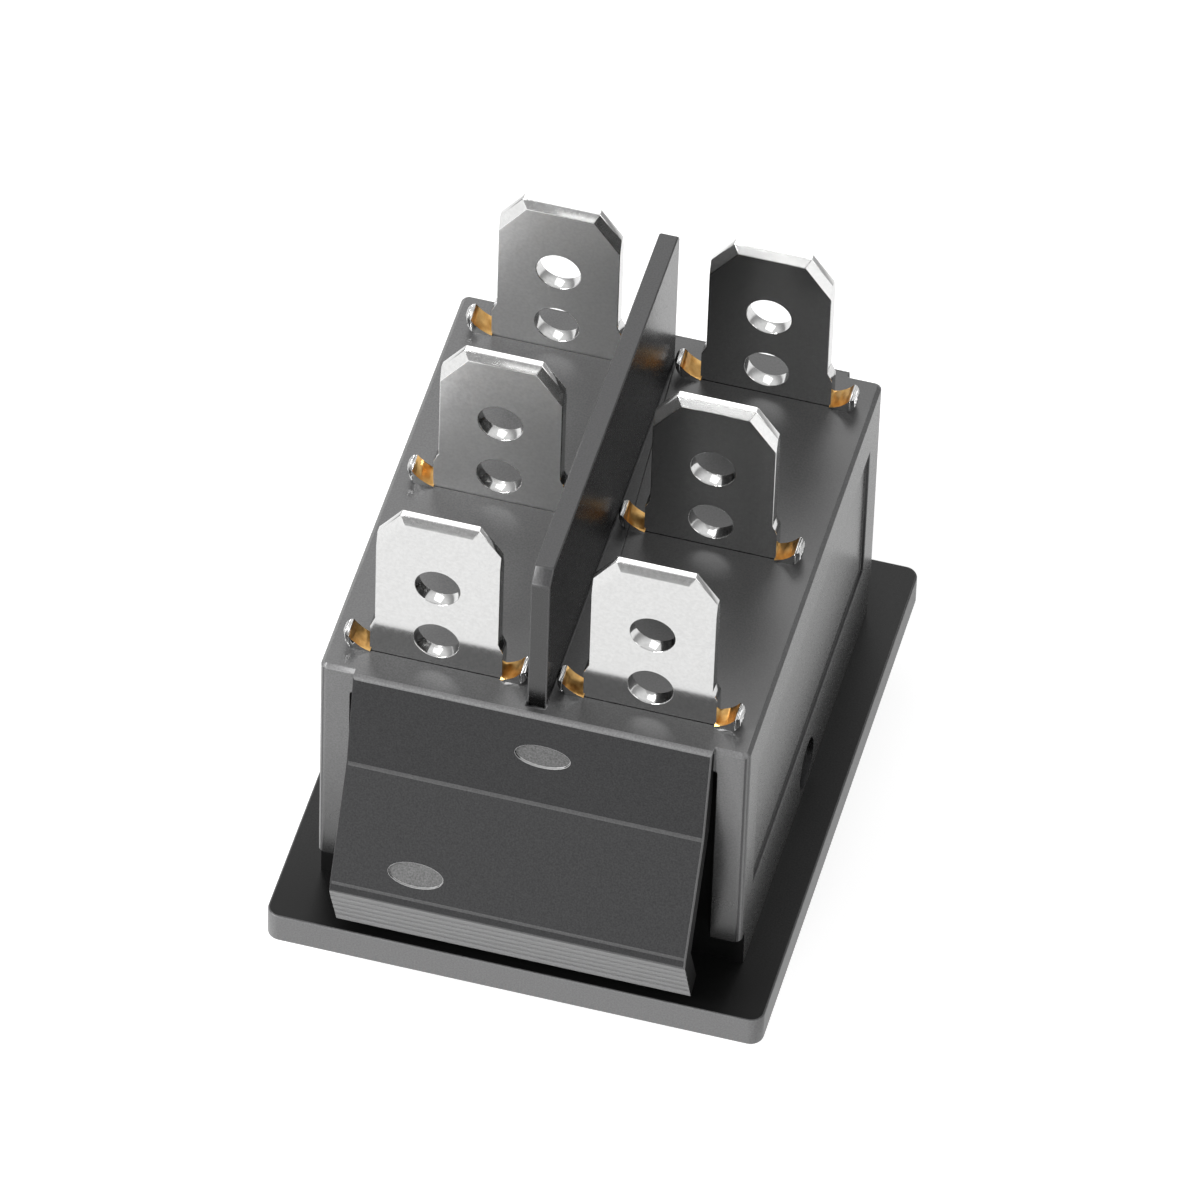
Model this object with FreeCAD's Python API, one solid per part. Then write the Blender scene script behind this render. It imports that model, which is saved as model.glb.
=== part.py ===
import FreeCAD, Part
import math
import os

# Double-pole panel rocker switch with a centre-off rocker, lengths in millimetres.
# +Z points to the terminals, X runs across the two poles and Y along the switch.
# Z = 0 is the face of the flange that seats on the panel.

# Body and flange, one moulding
BODY_WIDTH = 21.9
BODY_LENGTH = 26.4
BODY_HEIGHT = 16.2
BODY_CORNER_RADIUS = 0.4
BODY_TOP_CHAMFER = 0.2
SIDE_WALL = 1.2
END_WALL = 0.75
BASE_THICKNESS = 1.6
FLANGE_SIDE_OVERHANG = 1.9
FLANGE_END_OVERHANG = 2.8
FLANGE_THICKNESS = 1.9
FLANGE_CORNER_RADIUS = 0.7
FLANGE_FRONT_CHAMFER = 0.4
PARTITION_THICKNESS = 1.0
PARTITION_DEPTH = 8.6

# Snap-in latches at both ends, between the corner posts
POST_WIDTH = 1.65
POST_RELIEF_HEIGHT = 2.35
LATCH_RECESS = 0.8
LATCH_SIDE_GAP = 0.15
LATCH_THICKNESS = 1.15
LATCH_ROOT_STANDOUT = 0.3
LATCH_BEND_HEIGHT = 10.9
LATCH_BEND_STANDOUT = 1.3
LATCH_CREST_HEIGHT = 4.45
LATCH_CREST_STANDOUT = 4.2
LATCH_CREST_LAND = 0.55
LATCH_CREST_LAND_LEAN = 0.11
LATCH_FOOT_HEIGHT = 0.75
LATCH_FOOT_STANDOUT = 2.7
RAMP_GROOVES = 5
RAMP_GROOVE_DEPTH = 0.12
EJECTOR_MARK_WIDTH = 2.8
EJECTOR_MARK_LENGTH = 1.3
EJECTOR_MARK_DEPTH = 0.12
UPPER_MARK_HEIGHT = 13.8
UPPER_MARK_OFFSET = 0.7
LOWER_MARK_HEIGHT = 6.2
LOWER_MARK_OFFSET = -4.9

# Shallow sunk panels on the long sides
SIDE_PANEL_DEPTH = 0.18
SIDE_PANEL_FOOT = 4.5
SIDE_PANEL_TOP_MARGIN = 2.9
SIDE_PANEL_END_MARGIN = 2.2

# Divider that stands between the two poles
DIVIDER_THICKNESS = 1.0
DIVIDER_HEIGHT = 9.15
DIVIDER_FRONT_MARGIN = 0.55
DIVIDER_REAR_MARGIN = 1.45
DIVIDER_FRONT_CHAMFER = 0.7
DIVIDER_REAR_CHAMFER = 0.3
DIVIDER_FOOT_NOTCH = 0.35

# Plug-in tabs and the sheet metal that they are cut from
SHEET = 0.8
TAB_WIDTH = 6.3
TAB_HEIGHT = 10.0
TAB_CORNER_WIDTH = 1.16
TAB_CORNER_HEIGHT = 1.55
TAB_BEVEL_LENGTH = 0.5
TAB_BEVEL_DEPTH = 0.22
TAB_HOLE_DIAMETER = 2.3
TAB_UPPER_HOLE_HEIGHT = 5.5
TAB_LOWER_HOLE_HEIGHT = 1.7
SHOULDER_HEIGHT = 2.35
SHOULDER_STEP = 0.23
SHOULDER_SLOPE = 0.5
SLOT_END_CLEARANCE = 0.07
SLOT_FACE_CLEARANCE = 0.03
TERMINAL_TO_END_WALL = 0.05
TERMINAL_TO_SIDE_WALL = 0.92
COMMON_TAB_OFFSET = 0.35

# Staked ears that hold each terminal down on the base
EAR_REACH = 1.36
EAR_DEPTH = 1.05
EAR_TIP_HEIGHT = 1.12
EAR_TIP_LENGTH = 0.35
EAR_TIP_ROUNDING = 0.42
EAR_CROWN_SHARE = 0.25
EAR_OUTER_HEIGHT = 0.75
EAR_FLAT = 0.7
EAR_BELLY_REACH = 1.12
EAR_BELLY_HEIGHT = 0.32
EAR_RAMP_REACH = 0.55
EAR_RAMP_HEIGHT = 0.52
EAR_ROOT_HEIGHT = 0.15
EAR_ROOT_OVERLAP = 0.05
EAR_TILT = 10.0

# Inner foot of an end terminal, with its fixed contact
FOOT_WIDTH = 5.0
FOOT_END_MARGIN = 1.8
CONTACT_INSET = 3.0
CONTACT_RADIUS = 1.5
FIXED_CONTACT_THICKNESS = 0.5
RIVET_SHANK_RADIUS = 0.93
RIVET_HOLE_CLEARANCE = 0.02
FOOT_BEND_ROUNDING = 0.7

# Contact bar of each pole, rocking on the edge of the common terminal
BAR_WIDTH = 5.4
BAR_THICKNESS = 0.9
BAR_END_MARGIN = 1.4
BAR_CORNER_RADIUS = 0.9
BAR_TILT = 7.0
DOME_HEIGHT = 0.7
DOME_FLAT_RADIUS = 0.6
CLOSED_GAP = 0.08
FULCRUM_GROOVE_DEPTH = 0.25
FULCRUM_CLEARANCE = 0.03
WAIST_STEP = 0.6
WAIST_HALF_LENGTH = 0.7
HORN_CLEARANCE = 0.1
HORN_WIDTH = 0.7
COMMON_STOP_WIDTH = 7.8
COMMON_STOP_HEIGHT = 1.0

# Rocker with its trunnions, and the tubes that guide the plungers
HINGE_HEIGHT = 1.6
ROCKER_END_CLEARANCE = 0.25
ROCKER_SIDE_CLEARANCE = 0.35
ROCKER_CENTRE_REACH = 3.0
ROCKER_FACE_ANGLE = 12.3
ROCKER_RIM_HEIGHT = 0.2
ROCKER_WALL = 1.4
ROCKER_EDGE_ROUNDING = 0.4
TRUNNION_RADIUS = 1.3
TRUNNION_CLEARANCE = 0.05
TRUNNION_END_MARGIN = 0.2
TRUNNION_CHAMFER = 0.3
TRUNNION_EAR_RADIUS = 3.0
TUBE_WALL = 0.6
TUBE_TO_BAR = 3.12
RIB_THICKNESS = 1.0
RIB_HEIGHT = 3.4
SPRING_SEAT_HEIGHT = 2.0

# Spring plungers
PLUNGER_RADIUS = 1.45
PLUNGER_RUNNING_CLEARANCE = 0.05
PLUNGER_TIP_CLEARANCE = 0.05
PLUNGER_GRIP = 2.9
PLUNGER_NOSE_LENGTH = 0.9
PLUNGER_NOSE_FLAT_RADIUS = 0.45
PLUNGER_SPIGOT_LENGTH = 0.8
PLUNGER_SPIGOT_CLEARANCE = 0.075
SPRING_WIRE = 0.35
SPRING_TURNS = 6
SPRING_RUNS_PER_TURN = 8
SPRING_SECTION_SIDES = 6
SPRING_END_CLEARANCE = 0.05
SPRING_TUBE_CLEARANCE = 0.275

# Places that follow from the sizes above
HALF_WIDTH = BODY_WIDTH / 2
HALF_LENGTH = BODY_LENGTH / 2
INNER_HALF_WIDTH = HALF_WIDTH - SIDE_WALL
RECESS_PLANE = HALF_LENGTH - LATCH_RECESS
INNER_HALF_LENGTH = RECESS_PLANE - END_WALL
BASE_INNER = BODY_HEIGHT - BASE_THICKNESS
SHOULDER_HALF_WIDTH = TAB_WIDTH / 2 + SHOULDER_STEP
SLOT_HALF_WIDTH = SHOULDER_HALF_WIDTH + SLOT_END_CLEARANCE
SLOT_HALF_THICKNESS = SHEET / 2 + SLOT_FACE_CLEARANCE
TAB_TOP = BODY_HEIGHT + TAB_HEIGHT
POLE_X = INNER_HALF_WIDTH - TERMINAL_TO_SIDE_WALL - SHOULDER_HALF_WIDTH
TERMINAL_Y = INNER_HALF_LENGTH - TERMINAL_TO_END_WALL - SHEET / 2
CONTACT_Y = TERMINAL_Y - CONTACT_INSET
RIVET_HOLE_RADIUS = RIVET_SHANK_RADIUS + RIVET_HOLE_CLEARANCE
FIXED_CONTACT_FACE = BASE_INNER - SHEET - FIXED_CONTACT_THICKNESS
OPEN_GAP = CONTACT_Y * math.sin(math.radians(BAR_TILT)) + CLOSED_GAP
DOME_TOP = FIXED_CONTACT_FACE - OPEN_GAP
BAR_TOP = DOME_TOP - DOME_HEIGHT
BAR_UNDERSIDE = BAR_TOP - BAR_THICKNESS
GROOVE_RADIUS = SHEET / 2 + FULCRUM_CLEARANCE
FULCRUM_HEIGHT = BAR_TOP - FULCRUM_GROOVE_DEPTH + GROOVE_RADIUS
WAIST_HALF_WIDTH = BAR_WIDTH / 2 - WAIST_STEP
HORN_START = WAIST_HALF_WIDTH + HORN_CLEARANCE
ROCKER_END_RADIUS = INNER_HALF_LENGTH - ROCKER_END_CLEARANCE
ROCKER_HALF_WIDTH = INNER_HALF_WIDTH - ROCKER_SIDE_CLEARANCE
TUBE_BORE = PLUNGER_RADIUS + PLUNGER_RUNNING_CLEARANCE
TUBE_TOP = BAR_UNDERSIDE - TUBE_TO_BAR
SPRING_SEAT = SPRING_SEAT_HEIGHT - ROCKER_CENTRE_REACH
PLUNGER_TIP = BAR_UNDERSIDE - PLUNGER_TIP_CLEARANCE
PLUNGER_FOOT = TUBE_TOP - PLUNGER_GRIP
SPRING_OUTER_RADIUS = TUBE_BORE - SPRING_TUBE_CLEARANCE
SPRING_MEAN_RADIUS = SPRING_OUTER_RADIUS - SPRING_WIRE / 2
SPIGOT_RADIUS = SPRING_MEAN_RADIUS - SPRING_WIRE / 2 - PLUNGER_SPIGOT_CLEARANCE

# Tools cut this much past the face that they start from
PAST = 1.0

V = FreeCAD.Vector
SIDES = {"left": -1, "right": 1}
ENDS = {"front": -1, "rear": 1}
TAB_PLACES = (-TERMINAL_Y, COMMON_TAB_OFFSET, TERMINAL_Y)


def block(x0, x1, y0, y1, z0, z1):
    return Part.makeBox(x1 - x0, y1 - y0, z1 - z0, V(x0, y0, z0))


def rounded_block(half_width, half_length, z0, z1, radius):
    """Block centred on the Z axis, with its four upright edges rounded."""
    solid = block(-half_width, half_width, -half_length, half_length, z0, z1)
    upright = [edge for edge in solid.Edges if abs(edge.tangentAt(0).z) > 0.9]
    return solid.makeFillet(radius, upright)


def prism_x(profile, x0, x1):
    """Closed outline of (y, z) points, carried along X."""
    wire = Part.makePolygon([V(x0, y, z) for y, z in profile + profile[:1]])
    return Part.Face(wire).extrude(V(x1 - x0, 0, 0))


def prism_y(profile, y0, y1):
    """Closed outline of (x, z) points, carried along Y."""
    wire = Part.makePolygon([V(x, y0, z) for x, z in profile + profile[:1]])
    return Part.Face(wire).extrude(V(0, y1 - y0, 0))


def rod_x(radius, x0, x1, y, z):
    return Part.makeCylinder(radius, x1 - x0, V(x0, y, z), V(1, 0, 0))


def rod_z(radius, z0, z1, x=0.0, y=0.0):
    return Part.makeCylinder(radius, z1 - z0, V(x, y, z0), V(0, 0, 1))


def turned(profile):
    """Outline of (radius, z) points, turned about the Z axis."""
    wire = Part.makePolygon([V(r, 0, z) for r, z in profile + profile[:1]])
    return Part.Face(wire).revolve(V(0, 0, 0), V(0, 0, 1), 360)


def arc(start, middle, end):
    return Part.Arc(start, middle, end).toShape()


def on_end(solid, end):
    """A solid drawn at the front end, or the same one turned round to the rear end."""
    if end < 0:
        return solid
    return solid.mirror(V(0, 0, 0), V(0, 1, 0))


def on_side(solid, side):
    """A solid drawn at the right side, or the same one mirrored to the left side."""
    if side > 0:
        return solid
    return solid.mirror(V(0, 0, 0), V(1, 0, 0))


def shifted_line(points, distance):
    """The middle points of an open (y, z) line moved sideways, keeping its segments parallel."""
    shifted = []
    lines = []
    for (y0, z0), (y1, z1) in zip(points, points[1:]):
        length = math.hypot(y1 - y0, z1 - z0)
        along = ((y1 - y0) / length, (z1 - z0) / length)
        across = (-along[1], along[0])
        lines.append(((y0 + across[0] * distance, z0 + across[1] * distance), along))
    shifted.append(lines[0][0])
    for (start, along), (other, turn) in zip(lines, lines[1:]):
        span = (other[0] - start[0], other[1] - start[1])
        reach = (span[0] * turn[1] - span[1] * turn[0]) / (along[0] * turn[1] - along[1] * turn[0])
        shifted.append((start[0] + along[0] * reach, start[1] + along[1] * reach))
    last, along = lines[-1]
    length = math.dist(points[-2], points[-1])
    shifted.append((last[0] + along[0] * length, last[1] + along[1] * length))
    return shifted


def point_at_height(start, end, height):
    share = (height - start[1]) / (end[1] - start[1])
    return (start[0] + (end[0] - start[0]) * share, height)


def latch_outline():
    """Outer line of the front latch as (y, z), from its root at the base to its foot."""
    bend = (-HALF_LENGTH - LATCH_BEND_STANDOUT, LATCH_BEND_HEIGHT)
    crest = (-HALF_LENGTH - LATCH_CREST_STANDOUT, LATCH_CREST_HEIGHT)
    land = (crest[0] + LATCH_CREST_LAND_LEAN, crest[1] + LATCH_CREST_LAND)
    return [
        (-HALF_LENGTH - LATCH_ROOT_STANDOUT, BODY_HEIGHT),
        bend,
        land,
        crest,
        (-HALF_LENGTH - LATCH_FOOT_STANDOUT, LATCH_FOOT_HEIGHT),
    ]


def ramp_grooves(crest, foot, half_width):
    """Fine grooves across the ramp that grips the back of the panel."""
    run = (foot[0] - crest[0], foot[1] - crest[1])
    length = math.hypot(*run)
    along = (run[0] / length, run[1] / length)
    inward = (-along[1], along[0])
    grooves = []
    for number in range(1, RAMP_GROOVES + 1):
        place = length * number / (RAMP_GROOVES + 1)
        y = crest[0] + along[0] * place
        z = crest[1] + along[1] * place
        depth = RAMP_GROOVE_DEPTH
        profile = [
            (y - along[0] * depth - inward[0] * depth, z - along[1] * depth - inward[1] * depth),
            (y + inward[0] * depth, z + inward[1] * depth),
            (y + along[0] * depth - inward[0] * depth, z + along[1] * depth - inward[1] * depth),
        ]
        grooves.append(prism_x(profile, -half_width - PAST, half_width + PAST))
    return grooves


def ejector_mark(start, end, height, x):
    """Shallow oval mark square to one flat of the latch."""
    y, z = point_at_height(start, end, height)
    run = V(0, end[0] - start[0], end[1] - start[1]).normalize()
    inward = V(1, 0, 0).cross(run)
    if inward.y < 0:
        inward = inward * -1
    mouth = V(x, y, z) - inward * PAST
    side = mouth + V(EJECTOR_MARK_WIDTH / 2, 0, 0)
    oval = Part.Ellipse(side, mouth + run * (EJECTOR_MARK_LENGTH / 2), mouth)
    return Part.Face(Part.Wire(oval.toShape())).extrude(inward * (PAST + EJECTOR_MARK_DEPTH))


def latch():
    """Springy arm that hangs from the base in front of the recessed end wall."""
    outer = latch_outline()
    half_width = HALF_WIDTH - POST_WIDTH - LATCH_SIDE_GAP
    root, bend, land, crest, foot = outer
    inner = shifted_line([root, bend, crest, foot], LATCH_THICKNESS)
    neck = point_at_height(inner[0], inner[1], BASE_INNER)
    profile = outer + inner[:0:-1] + [
        neck,
        (-RECESS_PLANE, BASE_INNER),
        (-RECESS_PLANE, BODY_HEIGHT),
    ]
    arm = prism_x(profile, -half_width, half_width)
    tools = ramp_grooves(crest, foot, half_width)
    tools.append(ejector_mark(root, bend, UPPER_MARK_HEIGHT, UPPER_MARK_OFFSET))
    tools.append(ejector_mark(bend, land, LOWER_MARK_HEIGHT, LOWER_MARK_OFFSET))
    return arm.cut(tools)


def flange():
    """Plate that stays in front of the panel, with its front edges chamfered."""
    half_width = HALF_WIDTH + FLANGE_SIDE_OVERHANG
    half_length = HALF_LENGTH + FLANGE_END_OVERHANG
    plate = rounded_block(half_width, half_length, -FLANGE_THICKNESS, 0, FLANGE_CORNER_RADIUS)
    front = [edge for edge in plate.Edges if edge.BoundBox.ZMax < -FLANGE_THICKNESS / 2]
    return plate.makeChamfer(FLANGE_FRONT_CHAMFER, front)


def body():
    """Outer block of the body, its top edges a little chamfered."""
    solid = rounded_block(HALF_WIDTH, HALF_LENGTH, 0, BODY_HEIGHT, BODY_CORNER_RADIUS)
    top = [edge for edge in solid.Edges if edge.BoundBox.ZMin > BODY_HEIGHT / 2]
    return solid.makeChamfer(BODY_TOP_CHAMFER, top)


def mechanism_space():
    """Hollow of the body. Its mouth follows the swing of the rocker's ends."""
    upper = block(
        -INNER_HALF_WIDTH, INNER_HALF_WIDTH,
        -INNER_HALF_LENGTH, INNER_HALF_LENGTH,
        HINGE_HEIGHT, BASE_INNER,
    )
    swing = rod_x(INNER_HALF_LENGTH, -INNER_HALF_WIDTH, INNER_HALF_WIDTH, 0, HINGE_HEIGHT)
    mouth = block(
        -INNER_HALF_WIDTH, INNER_HALF_WIDTH,
        -INNER_HALF_LENGTH, INNER_HALF_LENGTH,
        -FLANGE_THICKNESS - PAST, HINGE_HEIGHT,
    )
    return upper.fuse(swing.common(mouth))


def end_recess():
    """Recess below the base between the front corner posts, with the relief at their feet."""
    half_width = HALF_WIDTH - POST_WIDTH
    pocket = block(-half_width, half_width, -HALF_LENGTH - PAST, -RECESS_PLANE, 0, BASE_INNER)
    relief = block(
        -HALF_WIDTH - PAST, HALF_WIDTH + PAST,
        -HALF_LENGTH - PAST, -RECESS_PLANE,
        0, POST_RELIEF_HEIGHT,
    )
    return pocket.fuse(relief)


def side_panel():
    """Shallow sunk panel on the right side."""
    half_length = HALF_LENGTH - SIDE_PANEL_END_MARGIN
    top = BODY_HEIGHT - SIDE_PANEL_TOP_MARGIN
    depth = HALF_WIDTH - SIDE_PANEL_DEPTH
    return block(depth, HALF_WIDTH + PAST, -half_length, half_length, SIDE_PANEL_FOOT, top)


def divider():
    """Upright wall between the poles, its top corners cut off."""
    front = -HALF_LENGTH + DIVIDER_FRONT_MARGIN
    rear = HALF_LENGTH - DIVIDER_REAR_MARGIN
    top = BODY_HEIGHT + DIVIDER_HEIGHT
    profile = [
        (front, BODY_HEIGHT - BASE_THICKNESS / 2),
        (front, top - DIVIDER_FRONT_CHAMFER),
        (front + DIVIDER_FRONT_CHAMFER, top),
        (rear - DIVIDER_REAR_CHAMFER, top),
        (rear, top - DIVIDER_REAR_CHAMFER),
        (rear, BODY_HEIGHT - BASE_THICKNESS / 2),
    ]
    return prism_x(profile, -DIVIDER_THICKNESS / 2, DIVIDER_THICKNESS / 2)


def divider_foot_notch():
    """Small notch in the base at the front foot of the divider."""
    front = -HALF_LENGTH + DIVIDER_FRONT_MARGIN
    half = DIVIDER_THICKNESS / 2
    depth = BODY_HEIGHT - DIVIDER_FOOT_NOTCH
    return block(-half, half, front - DIVIDER_FOOT_NOTCH, front, depth, BODY_HEIGHT + PAST)


def terminal_slot(x, y):
    return block(
        x - SLOT_HALF_WIDTH, x + SLOT_HALF_WIDTH,
        y - SLOT_HALF_THICKNESS, y + SLOT_HALF_THICKNESS,
        BASE_INNER - PAST, BODY_HEIGHT + PAST,
    )


def trunnion_holes():
    radius = TRUNNION_RADIUS + TRUNNION_CLEARANCE
    return rod_x(radius, -HALF_WIDTH - PAST, HALF_WIDTH + PAST, 0, HINGE_HEIGHT)


def partition():
    """Inner wall between the two poles, hanging from the base."""
    half = PARTITION_THICKNESS / 2
    return block(
        -half, half,
        -INNER_HALF_LENGTH - END_WALL / 2, INNER_HALF_LENGTH + END_WALL / 2,
        BASE_INNER - PARTITION_DEPTH, BASE_INNER + BASE_THICKNESS / 2,
    )


def housing():
    """The black moulding: flange, body, base, divider and both latches in one piece."""
    shell = flange().fuse(body())
    cuts = [mechanism_space()]
    for end in ENDS.values():
        cuts.append(on_end(end_recess(), end))
    for side in SIDES.values():
        cuts.append(on_side(side_panel(), side))
    shell = shell.cut(cuts)
    walls = [divider(), partition()]
    for end in ENDS.values():
        walls.append(on_end(latch(), end))
    shell = shell.fuse(walls)
    openings = [trunnion_holes(), divider_foot_notch()]
    for side in SIDES.values():
        for place in TAB_PLACES:
            openings.append(terminal_slot(side * POLE_X, place))
    return shell.cut(openings).removeSplitter()


def tab_outline():
    """Outline of a tab as (x, z), from the underside of the base up to its cut corners."""
    half = TAB_WIDTH / 2
    shoulder = BODY_HEIGHT + SHOULDER_HEIGHT
    corner = TAB_TOP - TAB_CORNER_HEIGHT
    right = [
        (SHOULDER_HALF_WIDTH, BASE_INNER),
        (SHOULDER_HALF_WIDTH, shoulder - SHOULDER_SLOPE),
        (half, shoulder),
        (half, corner),
        (half - TAB_CORNER_WIDTH, TAB_TOP),
    ]
    return right + [(-x, z) for x, z in reversed(right)]


def lead_in_wedge(start, end):
    """Wedge that bevels the front face of a tab along one edge of its tip, from start to end."""
    run = V(end[0] - start[0], 0, end[1] - start[1]).normalize()
    inward = V(run.z, 0, -run.x)
    face = V(0, -SHEET / 2, 0)
    origin = V(start[0], 0, start[1]) - run * TAB_WIDTH + face
    slope = TAB_BEVEL_DEPTH / TAB_BEVEL_LENGTH
    corners = [
        origin + inward * TAB_BEVEL_LENGTH,
        origin - inward * PAST + V(0, TAB_BEVEL_DEPTH + slope * PAST, 0),
        origin - inward * PAST - V(0, PAST, 0),
        origin + inward * TAB_BEVEL_LENGTH - V(0, PAST, 0),
    ]
    wire = Part.makePolygon(corners + corners[:1])
    return Part.Face(wire).extrude(run * TAB_WIDTH * 3)


def tab():
    """Blade from the base to the tip, pierced twice and bevelled all round its tip."""
    outline = tab_outline()
    blade = prism_y(outline, -SHEET / 2, SHEET / 2)
    half = TAB_WIDTH / 2
    tip = [
        (-half, TAB_TOP - TAB_CORNER_HEIGHT),
        (-half + TAB_CORNER_WIDTH, TAB_TOP),
        (half - TAB_CORNER_WIDTH, TAB_TOP),
        (half, TAB_TOP - TAB_CORNER_HEIGHT),
    ]
    tools = []
    for start, end in zip(tip, tip[1:]):
        wedge = lead_in_wedge(start, end)
        tools.append(wedge)
        tools.append(wedge.mirror(V(0, 0, 0), V(0, 1, 0)))
    for height in (TAB_UPPER_HOLE_HEIGHT, TAB_LOWER_HOLE_HEIGHT):
        centre = V(0, -SHEET, BODY_HEIGHT + height)
        tools.append(Part.makeCylinder(TAB_HOLE_DIAMETER / 2, SHEET * 2, centre, V(0, 1, 0)))
    return blade.cut(tools)


def ear():
    """Ear at the right foot of a tab, split off its shoulder and curled over the edge of its slot."""
    edge = SHOULDER_HALF_WIDTH
    root = edge - EAR_ROOT_OVERLAP
    half = EAR_DEPTH / 2

    def at(x, height):
        return V(x, -half, BODY_HEIGHT + height)

    heel = at(edge + EAR_FLAT, 0)
    belly = at(edge + EAR_BELLY_REACH, EAR_BELLY_HEIGHT)
    outer = at(edge + EAR_REACH, EAR_OUTER_HEIGHT)
    crown = at(edge + EAR_REACH - EAR_TIP_LENGTH * EAR_CROWN_SHARE, EAR_TIP_HEIGHT)
    tip = at(edge + EAR_REACH - EAR_TIP_LENGTH, EAR_TIP_HEIGHT)
    ramp = at(edge + EAR_RAMP_REACH, EAR_RAMP_HEIGHT)
    neck = at(root, EAR_ROOT_HEIGHT)
    lines = [
        Part.makeLine(at(root, 0), heel),
        arc(heel, belly, outer),
        arc(outer, crown, tip),
        arc(tip, ramp, neck),
        Part.makeLine(neck, at(root, 0)),
    ]
    curl = Part.Face(Part.Wire(lines)).extrude(V(0, EAR_DEPTH, 0))
    curl = curl.common(ear_plan(root, edge + EAR_REACH, half))
    curl.rotate(V(0, 0, BODY_HEIGHT), V(1, 0, 0), EAR_TILT)
    below_base = block(root - PAST, edge + EAR_REACH + PAST, -EAR_DEPTH, EAR_DEPTH, BASE_INNER, BODY_HEIGHT)
    return curl.cut(below_base)


def ear_plan(root, end, half):
    """Tall tool with the outline of an ear seen from above, its two outer corners rounded."""
    top = BODY_HEIGHT + EAR_TIP_HEIGHT + PAST
    plan = block(root, end, -half, half, BODY_HEIGHT - PAST, top)
    corners = [
        edge for edge in plan.Edges
        if abs(edge.tangentAt(0).z) > 0.9 and edge.BoundBox.XMin > (root + end) / 2
    ]
    return plan.makeFillet(EAR_TIP_ROUNDING, corners)


def eared_tab():
    right = ear()
    return tab().fuse([right, right.mirror(V(0, 0, 0), V(1, 0, 0))])


def end_terminal(end):
    """Tab of an end terminal with its bent foot, which the fixed contact is brazed to."""
    foot_end = CONTACT_Y - FOOT_END_MARGIN
    heel = TERMINAL_Y + SHEET / 2
    half = FOOT_WIDTH / 2
    foot = block(-half, half, -heel, -foot_end, BASE_INNER - SHEET, BASE_INNER)
    bend = [
        edge for edge in foot.Edges
        if edge.BoundBox.YMax < -heel + SHEET / 2 and edge.BoundBox.ZMax < BASE_INNER - SHEET / 2
    ]
    foot = foot.makeFillet(FOOT_BEND_ROUNDING, bend)
    return placed(eared_tab(), 0, end * TERMINAL_Y).fuse(on_end(foot, end)).removeSplitter()


def common_terminal():
    """Tab of the middle terminal, joggled under the base, with the edge that its contact bar rocks on."""
    half = SHEET / 2
    horn_end = HORN_START + HORN_WIDTH
    stop = block(
        -COMMON_STOP_WIDTH / 2, COMMON_STOP_WIDTH / 2,
        -half, COMMON_TAB_OFFSET + half,
        BASE_INNER - COMMON_STOP_HEIGHT, BASE_INNER,
    )
    plate = block(-horn_end, horn_end, -half, half, BAR_UNDERSIDE - HORN_WIDTH, BASE_INNER)
    gap = block(-HORN_START, HORN_START, -SHEET, SHEET, BAR_UNDERSIDE - HORN_WIDTH - PAST, FULCRUM_HEIGHT)
    edge = rod_x(half, -HORN_START, HORN_START, 0, FULCRUM_HEIGHT)
    upright = placed(eared_tab(), 0, COMMON_TAB_OFFSET)
    return upright.fuse([stop, plate.cut(gap), edge]).removeSplitter()


def fixed_contact():
    """Flat silver button below the foot of an end terminal."""
    return rod_z(CONTACT_RADIUS, FIXED_CONTACT_FACE, BASE_INNER - SHEET)


def moving_contact():
    """Domed silver rivet on top of the contact bar, its shank flush with the underside."""
    return turned([
        (0, BAR_UNDERSIDE),
        (RIVET_SHANK_RADIUS, BAR_UNDERSIDE),
        (RIVET_SHANK_RADIUS, BAR_TOP),
        (CONTACT_RADIUS, BAR_TOP),
        (DOME_FLAT_RADIUS, DOME_TOP),
        (0, DOME_TOP),
    ])


def contact_bar():
    """Copper bar of one pole, grooved where it rocks and waisted between the horns."""
    half_width = BAR_WIDTH / 2
    half_length = CONTACT_Y + BAR_END_MARGIN
    solid = rounded_block(half_width, half_length, BAR_UNDERSIDE, BAR_TOP, BAR_CORNER_RADIUS)
    groove = rod_x(GROOVE_RADIUS, -half_width - PAST, half_width + PAST, 0, FULCRUM_HEIGHT)
    tools = [groove]
    for side in SIDES.values():
        waist = block(
            WAIST_HALF_WIDTH, half_width + PAST,
            -WAIST_HALF_LENGTH, WAIST_HALF_LENGTH,
            BAR_UNDERSIDE - PAST, BAR_TOP + PAST,
        )
        tools.append(on_side(waist, side))
    for end in ENDS.values():
        place = end * CONTACT_Y
        tools.append(rod_z(RIVET_HOLE_RADIUS, BAR_UNDERSIDE - PAST, BAR_TOP + PAST, 0, place))
    return solid.cut(tools)


def rocker_form(radius, face_centre, half_width, top):
    """Paddle form: round ends about the hinge, and a shallow V across the front face."""
    drum = rod_x(radius, -half_width, half_width, 0, HINGE_HEIGHT)
    drop = radius * math.tan(math.radians(ROCKER_FACE_ANGLE))
    wedge = prism_x(
        [
            (0, face_centre),
            (radius, face_centre - drop),
            (radius, top),
            (-radius, top),
            (-radius, face_centre - drop),
        ],
        -half_width, half_width,
    )
    return drum.common(wedge)


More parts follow.
